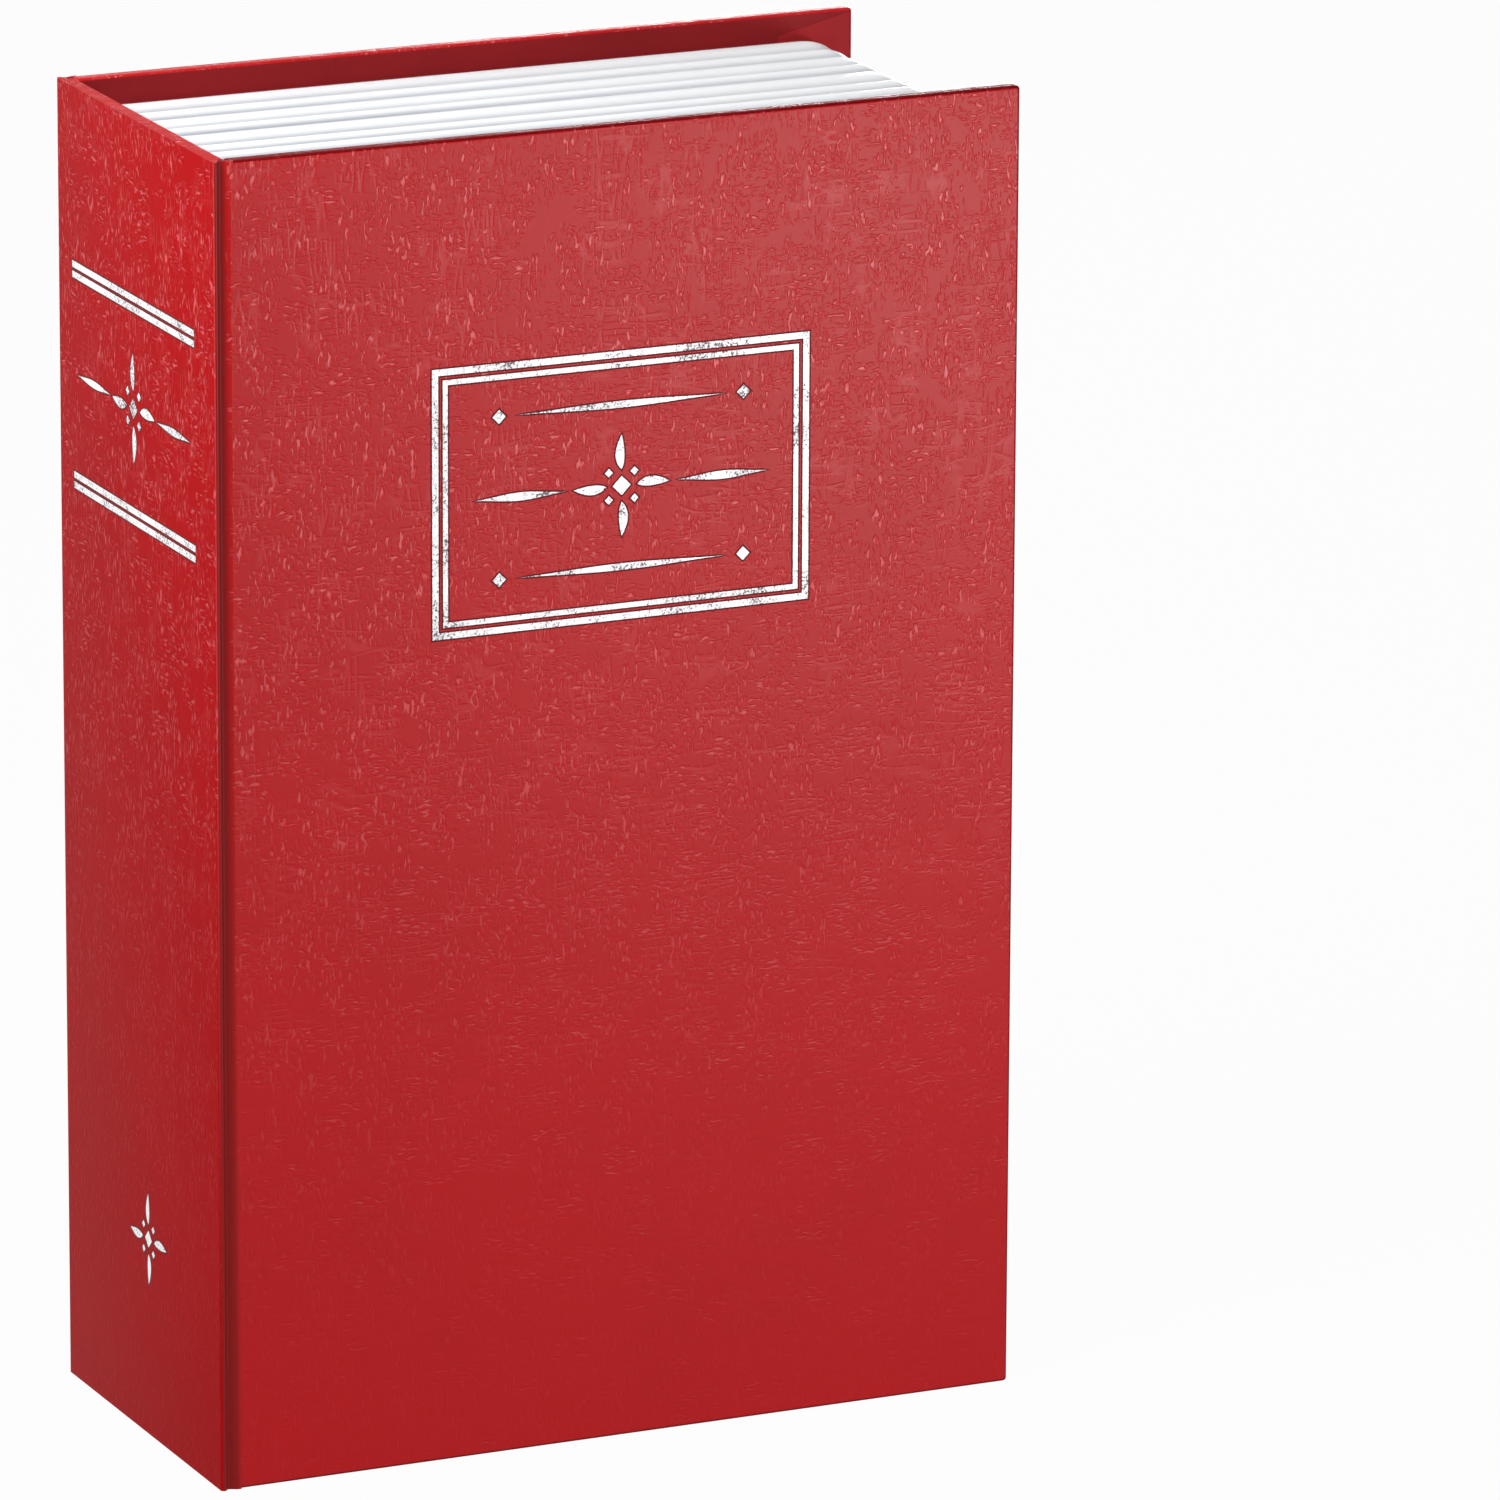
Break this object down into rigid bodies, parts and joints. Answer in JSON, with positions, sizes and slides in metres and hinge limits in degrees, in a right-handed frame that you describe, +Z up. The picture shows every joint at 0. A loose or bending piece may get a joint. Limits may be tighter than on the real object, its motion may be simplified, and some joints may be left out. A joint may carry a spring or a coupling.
{
  "type": "book diversion safe",
  "caption": "Small safe in the form of a hardback book: a cover that opens on ridged mock pages and a steel box with a combination lock in its hinged lid.",
  "frame": {"origin": "centre of the closed book's footprint, on the surface that it stands on", "axes": "+Z up the book from tail to head, +X from the spine to the fore edge, +Y from the front cover to the back cover"},
  "size_m": [0.115, 0.055, 0.18],
  "materials": {
    "leatherette": "red leatherette, satin, embossed with fine wrinkles",
    "greyboard": "raw board",
    "lining": "dark red lining paper",
    "pages": "white moulding, satin",
    "painted_steel": "dark grey powder coat, fine texture",
    "black_lock": "black, semi-gloss",
    "nickel": "satin nickel, numbers engraved and filled black",
    "zinc_steel": "bright zinc plate"
  },
  "bodies": {
    "book": {"spine_board": "greyboard", "spine_wrap": "leatherette", "back_board": "greyboard", "back_wrap": "leatherette", "back_lining": "lining", "front_joint_cloth": "leatherette", "back_joint_cloth": "leatherette", "page_block": "pages", "steel_box": "painted_steel", "box_screw_1": "zinc_steel", "box_screw_2": "zinc_steel", "box_screw_3": "zinc_steel", "box_screw_4": "zinc_steel", "keeper_angle": "painted_steel", "fixed_hinge_leaf": "painted_steel", "hinge_pin": "zinc_steel"},
    "cover": {"front_board": "greyboard", "front_wrap": "leatherette", "front_lining": "lining"},
    "lid": {"lid_panel": "painted_steel", "lock_plate": "black_lock", "lock_case": "black_lock", "lock_nut": "zinc_steel", "case_screw_1": "zinc_steel", "case_screw_2": "zinc_steel", "wheel_spindle": "zinc_steel", "detent_spring": "zinc_steel"},
    "wheel_1": {"number_wheel_1": "nickel"},
    "wheel_2": {"number_wheel_2": "nickel"},
    "wheel_3": {"number_wheel_3": "nickel"},
    "slide": {"code_slide": "zinc_steel"},
    "bolt": {"knob": "black_lock", "knob_shaft": "zinc_steel", "cam": "zinc_steel", "cam_washer": "zinc_steel", "cam_screw": "zinc_steel"}
  },
  "joints": [
    {"name": "cover_hinge", "type": "hinge", "parent": "book", "child": "cover", "pos_m": [-0.05645, -0.02765, 0.09], "axis": [0, 0, -1], "range_deg": [0, 180]},
    {"name": "lid_hinge", "type": "hinge", "parent": "book", "child": "lid", "pos_m": [-0.05225, -0.01265, 0.09], "axis": [0, 0, -1], "range_deg": [0, 90]},
    {"name": "wheel_1_turn", "type": "hinge", "parent": "lid", "child": "wheel_1", "pos_m": [0.0224, -0.0112, 0.1071], "axis": [0, 0, 1], "continuous": true},
    {"name": "wheel_2_turn", "type": "hinge", "parent": "lid", "child": "wheel_2", "pos_m": [0.0224, -0.0112, 0.10145], "axis": [0, 0, 1], "continuous": true},
    {"name": "wheel_3_turn", "type": "hinge", "parent": "lid", "child": "wheel_3", "pos_m": [0.0224, -0.0112, 0.0958], "axis": [0, 0, 1], "continuous": true},
    {"name": "slide_travel", "type": "slide", "parent": "lid", "child": "slide", "axis": [1, 0, 0], "range_m": [0, 0.003]},
    {"name": "knob_turn", "type": "hinge", "parent": "lid", "child": "bolt", "pos_m": [0.0224, -0.0112, 0.0797], "axis": [0, -1, 0], "range_deg": [0, 90]}
  ],
  "couplings": [
    {"joint": "lid_hinge", "follows": "cover_hinge", "ratio": 0.5}
  ]
}
